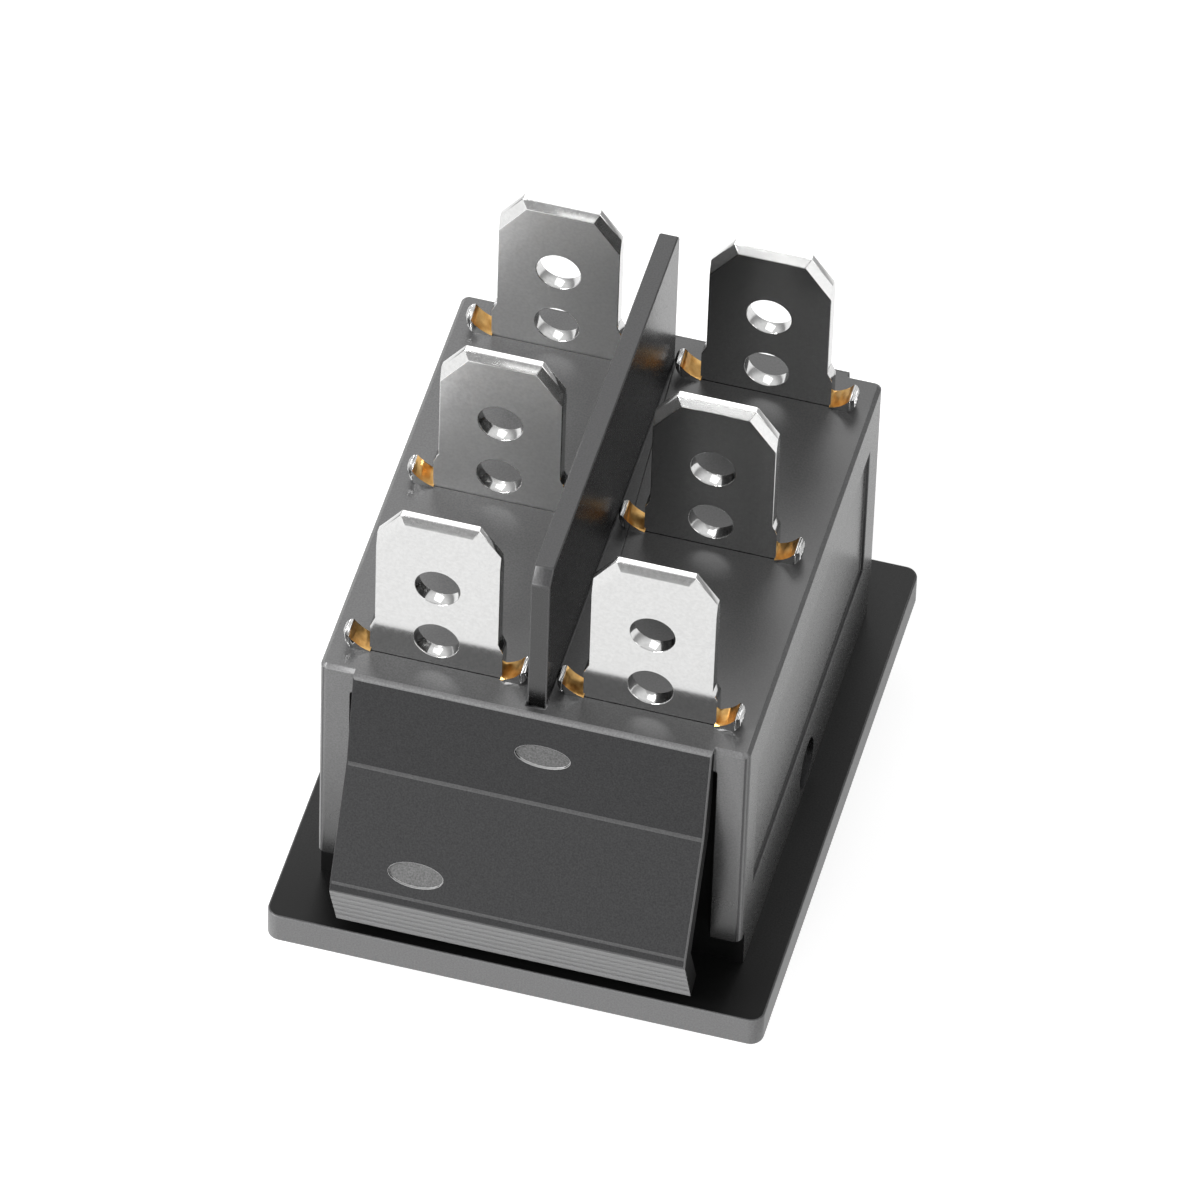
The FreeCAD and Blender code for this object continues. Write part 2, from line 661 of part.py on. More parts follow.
def rocker_shell():
    """Hollow paddle, its touched edges rounded."""
    face = -ROCKER_CENTRE_REACH
    solid = rocker_form(ROCKER_END_RADIUS, face, ROCKER_HALF_WIDTH, ROCKER_RIM_HEIGHT)
    rounded = [edge for edge in solid.Edges if is_touched_edge(edge, face)]
    solid = solid.makeFillet(ROCKER_EDGE_ROUNDING, rounded)
    inner_face = face + ROCKER_WALL / math.cos(math.radians(ROCKER_FACE_ANGLE))
    inner_half_width = ROCKER_HALF_WIDTH - ROCKER_WALL
    inner_radius = ROCKER_END_RADIUS - ROCKER_WALL
    return solid.cut(rocker_form(inner_radius, inner_face, inner_half_width, ROCKER_RIM_HEIGHT + PAST))


def is_touched_edge(edge, face):
    """True for the edges round the front face, but not for its valley line."""
    box = edge.BoundBox
    at_valley = box.YLength < 0.01 and abs(box.Center.y) < 0.01
    return box.ZMax < face + 0.01 and not at_valley


def plunger_tube(x):
    radius = TUBE_BORE + TUBE_WALL
    return rod_z(radius, -ROCKER_CENTRE_REACH + ROCKER_WALL / 2, TUBE_TOP, x, 0)


def trunnion():
    """Right-hand side wall ear with its pin, chamfered so that it snaps into the housing."""
    pin_end = HALF_WIDTH - TRUNNION_END_MARGIN
    inner = ROCKER_HALF_WIDTH - ROCKER_WALL
    ear_plate = rod_x(TRUNNION_EAR_RADIUS, inner, ROCKER_HALF_WIDTH, 0, HINGE_HEIGHT)
    pin = rod_x(TRUNNION_RADIUS, inner, pin_end, 0, HINGE_HEIGHT)
    tip = [edge for edge in pin.Edges if edge.BoundBox.XMin > pin_end - 0.01]
    pin = pin.makeChamfer(TRUNNION_CHAMFER, tip)
    skirt = block(
        inner, ROCKER_HALF_WIDTH,
        -TRUNNION_EAR_RADIUS, TRUNNION_EAR_RADIUS,
        -ROCKER_CENTRE_REACH + ROCKER_WALL / 2, HINGE_HEIGHT,
    )
    return ear_plate.fuse([pin, skirt])


def rocker():
    """Rocker moulding: paddle, trunnions, plunger tubes and the rib that joins the tubes."""
    rib_foot = -ROCKER_CENTRE_REACH + ROCKER_WALL / 2
    half_rib = RIB_THICKNESS / 2
    rib_end = ROCKER_HALF_WIDTH - ROCKER_WALL / 2
    rib = block(-rib_end, rib_end, -half_rib, half_rib, rib_foot, rib_foot + RIB_HEIGHT)
    parts = [rib]
    bores = []
    for side in SIDES.values():
        parts.append(plunger_tube(side * POLE_X))
        parts.append(on_side(trunnion(), side))
        bores.append(rod_z(TUBE_BORE, SPRING_SEAT, TUBE_TOP + PAST, side * POLE_X, 0))
    return rocker_shell().fuse(parts).cut(bores).removeSplitter()


def plunger():
    """Plunger with a blunt nose on the contact bar and a spigot inside its spring."""
    return turned([
        (0, PLUNGER_FOOT - PLUNGER_SPIGOT_LENGTH),
        (SPIGOT_RADIUS, PLUNGER_FOOT - PLUNGER_SPIGOT_LENGTH),
        (SPIGOT_RADIUS, PLUNGER_FOOT),
        (PLUNGER_RADIUS, PLUNGER_FOOT),
        (PLUNGER_RADIUS, PLUNGER_TIP - PLUNGER_NOSE_LENGTH),
        (PLUNGER_NOSE_FLAT_RADIUS, PLUNGER_TIP),
        (0, PLUNGER_TIP),
    ])


def spring():
    """Coil spring between the bottom of the tube and the plunger, bent in short straight runs."""
    low = SPRING_SEAT + SPRING_END_CLEARANCE + SPRING_WIRE / 2
    high = PLUNGER_FOOT - SPRING_END_CLEARANCE - SPRING_WIRE / 2
    runs = SPRING_TURNS * SPRING_RUNS_PER_TURN
    turn = 2 * math.pi / SPRING_RUNS_PER_TURN
    path = [
        V(
            SPRING_MEAN_RADIUS * math.cos(turn * run),
            SPRING_MEAN_RADIUS * math.sin(turn * run),
            low + (high - low) * run / runs,
        )
        for run in range(runs + 1)
    ]
    start = path[0]
    first_run = path[1] - start
    section = wire_section(start, first_run)
    sweep = Part.BRepOffsetAPI.MakePipeShell(Part.makePolygon(path))
    sweep.setTransitionMode(1)
    sweep.add(section)
    sweep.build()
    sweep.makeSolid()
    return sweep.shape()


def wire_section(centre, direction):
    """Six-sided outline square to a direction, as wide over its corners as the spring wire."""
    across = direction.cross(V(0, 0, 1)).normalize()
    up = across.cross(direction).normalize()
    corners = []
    for number in range(SPRING_SECTION_SIDES):
        angle = 2 * math.pi * number / SPRING_SECTION_SIDES
        reach = across * math.cos(angle) + up * math.sin(angle)
        corners.append(centre + reach * (SPRING_WIRE / 2))
    return Part.makePolygon(corners + corners[:1])


def placed(solid, x, y=0.0):
    copy = solid.copy()
    copy.translate(V(x, y, 0))
    return copy


def save(name, solid):
    solids = solid.Solids
    if len(solids) != 1 or not solids[0].isValid():
        raise ValueError(f"{name} isn't one valid solid")
    solids[0].exportStep(f"parts/{name}.step")
    print(f"{name}: {solids[0].Volume:.2f} mm3")


def main():
    os.makedirs("parts", exist_ok=True)
    save("housing", housing())
    save("rocker", rocker())
    common = common_terminal()
    fixed = fixed_contact()
    moving = moving_contact()
    bar = contact_bar()
    pusher = plunger()
    coil = spring()
    for side, sign in SIDES.items():
        x = sign * POLE_X
        save(f"terminal_{side}_common", placed(common, x))
        save(f"contact_bar_{side}", placed(bar, x))
        save(f"plunger_{side}", placed(pusher, x))
        save(f"spring_{side}", placed(coil, x))
        for end, way in ENDS.items():
            save(f"terminal_{side}_{end}", placed(end_terminal(way), x))
            save(f"fixed_contact_{side}_{end}", placed(fixed, x, way * CONTACT_Y))
            save(f"moving_contact_{side}_{end}", placed(moving, x, way * CONTACT_Y))


main()
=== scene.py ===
# %% [markdown]
# # A panel rocker switch, seen from behind
# The switch is a black moulding with six plated tabs, a divider between its two poles and a
# springy latch at each end. Its solids come from the CAD model, in metres and already in place.
# This lesson gives them the finish of the real parts: it rounds the edges that catch light,
# writes each material from nodes, and sets the light and the camera.

# %% Load the frame
import math

import bpy
from mathutils import Matrix, Vector


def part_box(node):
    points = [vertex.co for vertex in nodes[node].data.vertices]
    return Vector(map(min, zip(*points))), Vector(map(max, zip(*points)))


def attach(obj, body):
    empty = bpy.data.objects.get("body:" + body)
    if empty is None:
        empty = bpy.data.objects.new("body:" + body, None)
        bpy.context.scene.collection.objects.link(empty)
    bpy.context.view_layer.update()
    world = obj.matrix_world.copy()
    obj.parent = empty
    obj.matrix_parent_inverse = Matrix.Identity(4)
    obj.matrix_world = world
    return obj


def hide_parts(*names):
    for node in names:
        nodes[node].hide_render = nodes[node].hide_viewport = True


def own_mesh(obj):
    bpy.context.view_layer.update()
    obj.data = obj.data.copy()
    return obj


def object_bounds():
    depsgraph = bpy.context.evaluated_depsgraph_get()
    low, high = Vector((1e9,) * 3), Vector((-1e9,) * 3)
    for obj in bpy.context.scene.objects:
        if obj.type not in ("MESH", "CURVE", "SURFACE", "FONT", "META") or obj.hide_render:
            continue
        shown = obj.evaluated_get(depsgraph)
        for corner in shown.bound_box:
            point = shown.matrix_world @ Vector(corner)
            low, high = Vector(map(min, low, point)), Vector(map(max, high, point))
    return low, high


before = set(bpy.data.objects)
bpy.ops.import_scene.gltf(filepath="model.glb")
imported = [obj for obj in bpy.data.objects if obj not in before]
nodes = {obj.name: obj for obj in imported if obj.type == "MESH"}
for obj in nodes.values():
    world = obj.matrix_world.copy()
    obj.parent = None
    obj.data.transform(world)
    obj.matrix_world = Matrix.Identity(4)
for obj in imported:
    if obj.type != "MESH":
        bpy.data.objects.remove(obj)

MM = 0.001
cad_low, cad_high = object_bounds()
print("CAD box, mm:", [round(v / MM, 2) for v in (*cad_low, *cad_high)])

# %% [markdown]
# ## The places that everything is worked out from
# The CAD boxes say where the poles, the tabs and the flange's edge are, and reading them from
# the frame saves writing them twice. The top of the base is taken as the top of a tab less the
# tab's height, because the housing's own box ends at the divider.

# %% Read the places
housing_low, housing_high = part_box("housing")
COMMON_LOW, COMMON_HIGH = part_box("terminal_right_common")
POLE = (COMMON_LOW.x + COMMON_HIGH.x) / 2
POLES = {"left": -POLE, "right": POLE}
TAB_HEIGHT = 10.0 * MM
TAB_TOP = COMMON_HIGH.z
BASE_TOP = TAB_TOP - TAB_HEIGHT
SHOULDER = 3.38 * MM
ROWS = {"front": -11.2 * MM, "common": 0.35 * MM, "rear": 11.2 * MM}
print("base top, mm:", round(BASE_TOP / MM, 2), "poles at x, mm: +-", round(POLE / MM, 2))

# %% [markdown]
# ## The camera
# The photograph was taken with a long lens from high in front, a little to the right, with the
# camera rolled by two degrees. A long lens keeps the edges almost parallel. The camera stands
# at a measured place and looks at a point on the switch's axis, so no shift is needed.

# %% Add the camera
CAMERA_PLACE = Vector((106.28, -436.27, 500.40)) * MM
CAMERA_AIM = Vector((-0.075, 0.0, 10.40)) * MM
CAMERA_ROLL = math.radians(2.038)
CAMERA_LENS = 398.3
CAMERA_NEAR = 0.05
CAMERA_FAR = 20.0


def add_camera():
    data = bpy.data.cameras.new("camera")
    data.lens = CAMERA_LENS
    data.clip_start = CAMERA_NEAR
    data.clip_end = CAMERA_FAR
    camera = bpy.data.objects.new("camera", data)
    bpy.context.scene.collection.objects.link(camera)
    turn = (CAMERA_AIM - CAMERA_PLACE).to_track_quat("-Z", "Y").to_matrix().to_4x4()
    roll = Matrix.Rotation(CAMERA_ROLL, 4, "Z")
    camera.matrix_world = Matrix.Translation(CAMERA_PLACE) @ turn @ roll
    bpy.context.scene.camera = camera
    print("camera, mm from its aim:", round((CAMERA_PLACE - CAMERA_AIM).length / MM))


add_camera()
bpy.context.scene.view_settings.view_transform = "Standard"

# %% [markdown]
# ## Light, floor and background
# The photograph is a cut-out on white. The full white is only for the rays that come from the
# camera, so it puts no light on the switch. The plated tabs mirror what is round them, so the
# rays from a glossy surface see a sky that is darker at the horizon, and a floor that is darker
# far off. That gives the tabs their white and grey sides. The floor itself is a plain grey under
# its glow, so it keeps the soft shadow.

# %% Helpers for nodes
def new_material(name):
    material = bpy.data.materials.new(name)
    material.use_nodes = True
    tree = material.node_tree
    tree.nodes.clear()
    return material, tree.nodes, tree.links


def choose(tree_nodes, links, flag, when_off, when_on):
    """One of two strengths. Each can be a number or a socket."""
    choice = tree_nodes.new("ShaderNodeMix")
    choice.data_type = "FLOAT"
    links.new(flag, choice.inputs["Factor"])
    for name, value in (("A", when_off), ("B", when_on)):
        if isinstance(value, float):
            choice.inputs[name].default_value = value
        else:
            links.new(value, choice.inputs[name])
    return choice.outputs["Result"]


def by_ray(tree_nodes, links, seen, mirrored, lighting):
    """One strength for camera rays, one for glossy rays and one for the rays that light things."""
    path = tree_nodes.new("ShaderNodeLightPath")
    glossy = choose(tree_nodes, links, path.outputs["Is Glossy Ray"], lighting, mirrored)
    return choose(tree_nodes, links, path.outputs["Is Camera Ray"], glossy, seen)


def fade(tree_nodes, links, source, start, end, low, high):
    """A strength that goes smoothly from low to high while its source goes from start to end."""
    mapped = tree_nodes.new("ShaderNodeMapRange")
    mapped.interpolation_type = "SMOOTHSTEP"
    limits = {"From Min": start, "From Max": end, "To Min": low, "To Max": high}
    for name, value in limits.items():
        mapped.inputs[name].default_value = value
    links.new(source, mapped.inputs["Value"])
    return mapped.outputs["Result"]


# %% White sky
WHITE = (1.0, 1.0, 1.0, 1.0)
SKY_SEEN = 1.0
SKY_LIGHT = 0.14
HORIZON_MIRRORED = 0.42
HORIZON_UP_TO = 0.1
ZENITH_MIRRORED = 1.0
ZENITH_FROM = 0.65


def add_sky():
    world = bpy.data.worlds.new("white_sky")
    world.use_nodes = True
    tree = world.node_tree
    tree.nodes.clear()
    background = tree.nodes.new("ShaderNodeBackground")
    background.inputs["Color"].default_value = WHITE
    output = tree.nodes.new("ShaderNodeOutputWorld")
    direction = tree.nodes.new("ShaderNodeTexCoord")
    parts = tree.nodes.new("ShaderNodeSeparateXYZ")
    tree.links.new(direction.outputs["Generated"], parts.inputs[0])
    mirrored = fade(
        tree.nodes, tree.links, parts.outputs["Z"],
        HORIZON_UP_TO, ZENITH_FROM, HORIZON_MIRRORED, ZENITH_MIRRORED,
    )
    strength = by_ray(tree.nodes, tree.links, SKY_SEEN, mirrored, SKY_LIGHT)
    tree.links.new(strength, background.inputs["Strength"])
    tree.links.new(background.outputs[0], output.inputs["Surface"])
    bpy.context.scene.world = world
    print(world.name, "is seen at", SKY_SEEN, "and lights at", SKY_LIGHT)


add_sky()

# %% White floor
FLOOR_SIZE = 6.0
FLOOR_GAP = 0.02 * MM
FLOOR_GREY = (0.5, 0.5, 0.5, 1.0)
FLOOR_SEEN = 0.85
FLOOR_LIGHT = 0.0
FLOOR_MIRRORED_NEAR = 0.72
FLOOR_MIRRORED_FAR = 0.3
FLOOR_NEAR = 0.08
FLOOR_FAR = 0.5


def add_floor():
    bpy.ops.object.select_all(action="DESELECT")
    bpy.ops.mesh.primitive_plane_add(size=FLOOR_SIZE, location=(0.0, 0.0, cad_low.z - FLOOR_GAP))
    floor = bpy.context.object
    floor.name = "floor"
    material, tree_nodes, links = new_material("white_floor")
    diffuse = tree_nodes.new("ShaderNodeBsdfDiffuse")
    diffuse.inputs["Color"].default_value = FLOOR_GREY
    place = tree_nodes.new("ShaderNodeTexCoord")
    distance = tree_nodes.new("ShaderNodeVectorMath")
    distance.operation = "LENGTH"
    links.new(place.outputs["Object"], distance.inputs[0])
    mirrored = fade(
        tree_nodes, links, distance.outputs["Value"],
        FLOOR_NEAR, FLOOR_FAR, FLOOR_MIRRORED_NEAR, FLOOR_MIRRORED_FAR,
    )
    glow = tree_nodes.new("ShaderNodeEmission")
    glow.inputs["Color"].default_value = WHITE
    strength = by_ray(tree_nodes, links, FLOOR_SEEN, mirrored, FLOOR_LIGHT)
    total = tree_nodes.new("ShaderNodeAddShader")
    output = tree_nodes.new("ShaderNodeOutputMaterial")
    links.new(strength, glow.inputs["Strength"])
    links.new(diffuse.outputs[0], total.inputs[0])
    links.new(glow.outputs[0], total.inputs[1])
    links.new(total.outputs[0], output.inputs["Surface"])
    floor.data.materials.append(material)
    print(floor.name, "is", FLOOR_SIZE, "m wide, at z, mm:", round(floor.location.z / MM, 2))


add_floor()

# %% [markdown]
# ### Lamps
# Four square area lamps stand round the switch and face its origin. The key lamp on the left
# lights the fronts of the tabs, the front one the latch, the side one the long wall on the
# right, and the back one lifts the far edges. Large lamps keep the shadow soft.

# %% Lamps
LAMPS = {
    "key": {"place": (-0.45, -0.34, 0.42), "size": 0.22, "power": 4.4},
    "front": {"place": (-0.24, -0.58, 0.18), "size": 0.18, "power": 1.8},
    "side": {"place": (0.50, -0.16, 0.30), "size": 0.30, "power": 0.9},
    "back": {"place": (-0.10, 0.46, 0.50), "size": 0.36, "power": 0.8},
}


def add_lamp(name, place, size, power):
    data = bpy.data.lights.new(name, "AREA")
    data.shape = "SQUARE"
    data.size = size
    data.energy = power
    lamp = bpy.data.objects.new(name, data)
    bpy.context.scene.collection.objects.link(lamp)
    lamp.location = place
    lamp.rotation_mode = "QUATERNION"
    lamp.rotation_quaternion = (-Vector(place)).to_track_quat("-Z", "Y")
    print(name, "lamp:", power, "W")


for lamp_name, lamp in LAMPS.items():
    add_lamp(lamp_name, **lamp)

# %% [markdown]
# ## Black moulded plastic
# The moulding is black plastic with a very fine grain from its mould. An image of the grain
# would do, but a noise pattern needs no file and fits every face. Its cells are about a tenth of
# a millimetre wide. It gives the grain as bump, and changes the colour and the roughness a
# little, because a flat value looks like paint.

# %% Patterns
GRAIN_SCALE = 11000.0
GRAIN_DETAIL = 2.0
PATTERN_LOW = 0.3
PATTERN_HIGH = 0.7
UNSTRETCHED = (1.0, 1.0, 1.0)


def noise_on_place(tree_nodes, links, scale, detail, stretch=UNSTRETCHED):
    place = tree_nodes.new("ShaderNodeTexCoord")
    mapping = tree_nodes.new("ShaderNodeMapping")
    mapping.inputs["Scale"].default_value = stretch
    noise = tree_nodes.new("ShaderNodeTexNoise")
    noise.inputs["Scale"].default_value = scale
    noise.inputs["Detail"].default_value = detail
    links.new(place.outputs["Object"], mapping.inputs["Vector"])
    links.new(mapping.outputs["Vector"], noise.inputs["Vector"])
    return noise.outputs["Fac"]


def spread(tree_nodes, links, source, low, high):
    """Maps a pattern's middle values to a range of one shader value."""
    mapped = tree_nodes.new("ShaderNodeMapRange")
    limits = {"From Min": PATTERN_LOW, "From Max": PATTERN_HIGH, "To Min": low, "To Max": high}
    for name, value in limits.items():
        mapped.inputs[name].default_value = value
    links.new(source, mapped.inputs["Value"])
    return mapped.outputs[0]


def colour_ramp(tree_nodes, links, source, low, high):
    """Maps a pattern's middle values to the colours between two."""
    ramp = tree_nodes.new("ShaderNodeValToRGB")
    first, last = ramp.color_ramp.elements
    first.position, first.color = PATTERN_LOW, (*low, 1.0)
    last.position, last.color = PATTERN_HIGH, (*high, 1.0)
    links.new(source, ramp.inputs["Fac"])
    return ramp.outputs["Color"]


# %% Bump, painted shade and the last links
BUMP_STRENGTH = 1.0


def bump(tree_nodes, links, source, depth):
    node = tree_nodes.new("ShaderNodeBump")
    node.inputs["Strength"].default_value = BUMP_STRENGTH
    node.inputs["Distance"].default_value = depth
    links.new(source, node.inputs["Height"])
    return node.outputs["Normal"]


def paint_shade_along(tree_nodes, links, colour, axis, start, end, low, high):
    """Paints shade: scales a colour by a share that goes from low to high along one axis of the
    part.
    """
    place = tree_nodes.new("ShaderNodeTexCoord")
    parts = tree_nodes.new("ShaderNodeSeparateXYZ")
    links.new(place.outputs["Object"], parts.inputs[0])
    scaled = tree_nodes.new("ShaderNodeVectorMath")
    scaled.operation = "SCALE"
    links.new(colour, scaled.inputs[0])
    share = fade(tree_nodes, links, parts.outputs[axis], start, end, low, high)
    links.new(share, scaled.inputs["Scale"])
    return scaled.outputs[0]


def finish_material(tree_nodes, links, shader, pattern, colour, rough, depth):
    """Links a colour to the shader, and a pattern to its roughness and its bump."""
    output = tree_nodes.new("ShaderNodeOutputMaterial")
    links.new(colour, shader.inputs["Base Color"])
    links.new(spread(tree_nodes, links, pattern, *rough), shader.inputs["Roughness"])
    links.new(bump(tree_nodes, links, pattern, depth), shader.inputs["Normal"])
    links.new(shader.outputs[0], output.inputs["Surface"])


# %% Black plastic
PLAIN_SHEEN = 0.5


def black_plastic(name, dark, light, rough, depth, sheen=PLAIN_SHEEN, shade_fade=None):
    """Grained plastic between two colours, with a painted shade along the axis and limits given
    last.
    """
    material, tree_nodes, links = new_material(name)
    shader = tree_nodes.new("ShaderNodeBsdfPrincipled")
    shader.inputs["Specular IOR Level"].default_value = sheen
    grain = noise_on_place(tree_nodes, links, GRAIN_SCALE, GRAIN_DETAIL)
    colour = colour_ramp(tree_nodes, links, grain, dark, light)
    # Painted shade: the colour gets darker towards one side.
    if shade_fade:
        colour = paint_shade_along(tree_nodes, links, colour, *shade_fade)
    finish_material(tree_nodes, links, shader, grain, colour, rough, depth)
    return material


def grey(value, blue=0.0):
    """A grey, or with a little more blue."""
    return (value, value, value + blue)


# %% [markdown]
# ### Tones of the moulding
# It is all one plastic. Each surface gets its own mix of colour, roughness and grain: the
# roughness and the sheen follow the gloss that its side of the mould gave it, and the colours
# are painted light and shade, lighter where the studio's light falls and darker in its shade.
# Three of them also get a painted shade towards one side: the posts towards their foot, the top
# to the right and the flange to the front.

# %% Walls and top of the moulding
# Each row is an axis, where the painted shade starts and ends, and the share of the colour there.
WALL_SHADE_FADE = ("Z", 1.5 * MM, 12.0 * MM, 0.15, 1.0)
TOP_SHADE_FADE = ("X", -8.0 * MM, 3.0 * MM, 1.0, 0.6)

HOUSING_BLACK = black_plastic(
    "housing_black", grey(0.02, 0.001), grey(0.046, 0.001), (0.34, 0.42), 0.005 * MM
)
# Painted light: the side walls are lighter than the plain moulding.
SIDE_LIT_BLACK = black_plastic("side_wall_painted_light", grey(0.05), grey(0.075), (0.26, 0.3), 0.0003 * MM, 1.0)
# Painted shade: the divider is darker than the plain moulding.
DIVIDER_SHADED_BLACK = black_plastic(
    "divider_painted_shade", grey(0.003), grey(0.006), (0.24, 0.28), 0.0003 * MM, 0.8
)
# Painted light and shade: the posts are lighter, with a painted shade towards their foot.
WALL_LIT_SHADED_BLACK = black_plastic(
    "post_painted_light_and_shade", grey(0.08, 0.001), grey(0.12, 0.001), (0.2, 0.26), 0.001 * MM, 1.0, WALL_SHADE_FADE
)
# Painted light and shade: the top is lighter, with a painted shade towards the right.
TOP_LIT_SHADED_BLACK = black_plastic(
    "top_painted_light_and_shade", grey(0.055, 0.001), grey(0.1, 0.001), (0.3, 0.38), 0.004 * MM, 0.7, TOP_SHADE_FADE
)
# Painted shade: the walls of the recess beside and behind a latch are nearly black.
RECESS_SHADED_BLACK = black_plastic(
    "recess_painted_shade", grey(0.004), grey(0.007), (0.6, 0.7), 0.001 * MM, 0.1
)
print("walls and top:", HOUSING_BLACK.name, SIDE_LIT_BLACK.name, WALL_LIT_SHADED_BLACK.name, TOP_LIT_SHADED_BLACK.name)

# %% Flange and latches
# The flange's painted shade: darker towards the front, under the latches.
FLANGE_SHADE_FADE = ("Y", -15.8 * MM, -8.0 * MM, 0.1, 1.0)

# Painted shade: the flange's top is darker than the plain moulding.
FLANGE_SHADED_BLACK = black_plastic(
    "flange_painted_shade", grey(0.006), grey(0.02), (0.4, 0.5), 0.003 * MM, 0.25, FLANGE_SHADE_FADE
)
# Painted light: the outer faces of the flange are lighter.
FLANGE_RIM_LIT_BLACK = black_plastic(
    "flange_rim_painted_light", grey(0.12, 0.001), grey(0.17, 0.001), (0.34, 0.42), 0.003 * MM
)
# Painted shade: the latches are darker than the plain moulding.
LATCH_SHADED_BLACK = black_plastic(
    "latch_painted_shade", grey(0.016, 0.001), grey(0.032, 0.001), (0.42, 0.52), 0.003 * MM, 0.25
)
# Painted light: the ramps under the latches are lighter.
RAMP_LIT_BLACK = black_plastic(
    "ramp_painted_light", grey(0.17, 0.002), grey(0.24, 0.002), (0.4, 0.5), 0.002 * MM
)
print("flange and latches:", FLANGE_SHADED_BLACK.name, FLANGE_RIM_LIT_BLACK.name, LATCH_SHADED_BLACK.name, RAMP_LIT_BLACK.name)

# %% Edges and marks
# Painted highlight: the rounded strips of the moulding's edges are lighter.
EDGE_HIGHLIGHT_BLACK = black_plastic(
    "edge_painted_highlight", grey(0.04, 0.001), grey(0.07, 0.001), (0.32, 0.4), 0.001 * MM
)
# Painted highlight: a light line along the latch's crease and its right edge.
CREASE_HIGHLIGHT_GREY = black_plastic(
    "crease_painted_highlight", grey(0.09, 0.001), grey(0.12, 0.001), (0.32, 0.4), 0.001 * MM
)
# Painted highlight: a light line along the top's rim and the body's corners.
RIM_HIGHLIGHT_GREY = black_plastic(
    "rim_painted_highlight", grey(0.12, 0.001), grey(0.18, 0.001), (0.3, 0.4), 0.001 * MM
)
MARK_GREY = black_plastic("mark_grey", grey(0.06), grey(0.14), (0.3, 0.45), 0.01 * MM)
# Painted highlight: the rims of the ejector marks.
MARK_EDGE_HIGHLIGHT_GREY = black_plastic("mark_rim_painted_highlight", grey(0.3), grey(0.4), (0.3, 0.4), 0.001 * MM)
print("edges and marks:", EDGE_HIGHLIGHT_BLACK.name, CREASE_HIGHLIGHT_GREY.name, RIM_HIGHLIGHT_GREY.name, MARK_GREY.name)

# %% Rocker and plungers
ROCKER_BLACK = black_plastic("rocker_black", grey(0.012), grey(0.018), (0.16, 0.24), 0.001 * MM)
NYLON = black_plastic(
    "plunger_nylon", (0.72, 0.7, 0.62), (0.8, 0.78, 0.7), (0.3, 0.4), 0.002 * MM
)
print("rocker and plungers:", ROCKER_BLACK.name, NYLON.name)

# %% [markdown]
# ## Metals
# The tabs are brass sheet with bright plating, the contacts are silver, and the bars and springs
# inside are copper and steel. A metal is mostly what it mirrors, so its nodes only vary its tint
# and its roughness a little. Some tabs get a rougher plating on their broad faces or at their
# tip, in a lighter colour that is painted light. The copper's noise is stretched along the bar,
# as rolling marks are.

# %% Metals
METAL_DETAIL = 3.0
ROLLED = (4.0, 0.4, 1.0)


def metal(name, dark, light, rough, scale, depth, stretch=UNSTRETCHED):
    material, tree_nodes, links = new_material(name)
    shader = tree_nodes.new("ShaderNodeBsdfPrincipled")
    shader.inputs["Metallic"].default_value = 1.0
    pattern = noise_on_place(tree_nodes, links, scale, METAL_DETAIL, stretch)
    colour = colour_ramp(tree_nodes, links, pattern, dark, light)
    finish_material(tree_nodes, links, shader, pattern, colour, rough, depth)
    print("metal:", name)
    return material


PLATING = metal(
    "tin_plating", (0.6, 0.6, 0.596), (0.66, 0.66, 0.656), (0.1, 0.14), 6000.0, 0.0002 * MM
)
# Painted light: satin and tip plating are rougher and lighter in colour than the plain plating.
SATIN_LIT_PLATING = metal(
    "satin_plating_painted_light", (0.8, 0.8, 0.795), (0.88, 0.88, 0.875), (0.32, 0.38), 6000.0, 0.0004 * MM
)
TIP_LIT_PLATING = metal(
    "tip_painted_light", (0.74, 0.74, 0.735), (0.8, 0.8, 0.795), (0.2, 0.24), 6000.0, 0.0004 * MM
)
SHEARED_BRASS = metal(
    "sheared_brass", (0.62, 0.32, 0.09), (0.95, 0.62, 0.24), (0.28, 0.42), 2500.0, 0.01 * MM
)
SILVER = metal(
    "contact_silver", (0.86, 0.85, 0.82), (0.93, 0.92, 0.9), (0.22, 0.34), 1500.0, 0.002 * MM
)
COPPER = metal(
    "bar_copper", (0.72, 0.4, 0.26), (0.86, 0.52, 0.36), (0.2, 0.32), 700.0, 0.002 * MM, ROLLED
)
SPRING_WIRE = metal(
    "spring_wire", (0.5, 0.5, 0.5), (0.66, 0.66, 0.66), (0.2, 0.3), 3000.0, 0.002 * MM
)

# %% [markdown]
# ## Each CAD part in its own material
# Every solid gets the material of the real part, also those inside the body, because a model
# can be opened. The start of a node's name says what it is, so one small table does for all.

# %% Dress the CAD nodes
FINISHES = {
    "housing": HOUSING_BLACK,
    "rocker": ROCKER_BLACK,
    "terminal": PLATING,
    "fixed_contact": SILVER,
    "moving_contact": SILVER,
    "contact_bar": COPPER,
    "spring": SPRING_WIRE,
    "plunger": NYLON,
}


def finish_of(name):
    return next(material for start, material in FINISHES.items() if name.startswith(start))


for node_name, node in nodes.items():
    node.data.materials.clear()
    node.data.materials.append(finish_of(node_name))
print("CAD parts dressed:", len(nodes))

# %% [markdown]
# ## Edges that catch the light
# No real edge is perfectly sharp. On the moulding and on the tabs, each edge shows as a thin
# light line, and that line is half of what makes the switch look solid. Each visible part is
# copied, its loose triangles are joined into clean faces, and the Bevel modifier rounds its
# edges. On the moulding the rounded strips also get a lighter colour, which is a painted
# highlight. Some edges of the real moulding are rounder than others, so a function of the place
# gives each edge its width, written as its bevel weight. Edges that hardly turn, such as those
# between the facets of a hole, stay as they are, and faces too thin to see don't count.

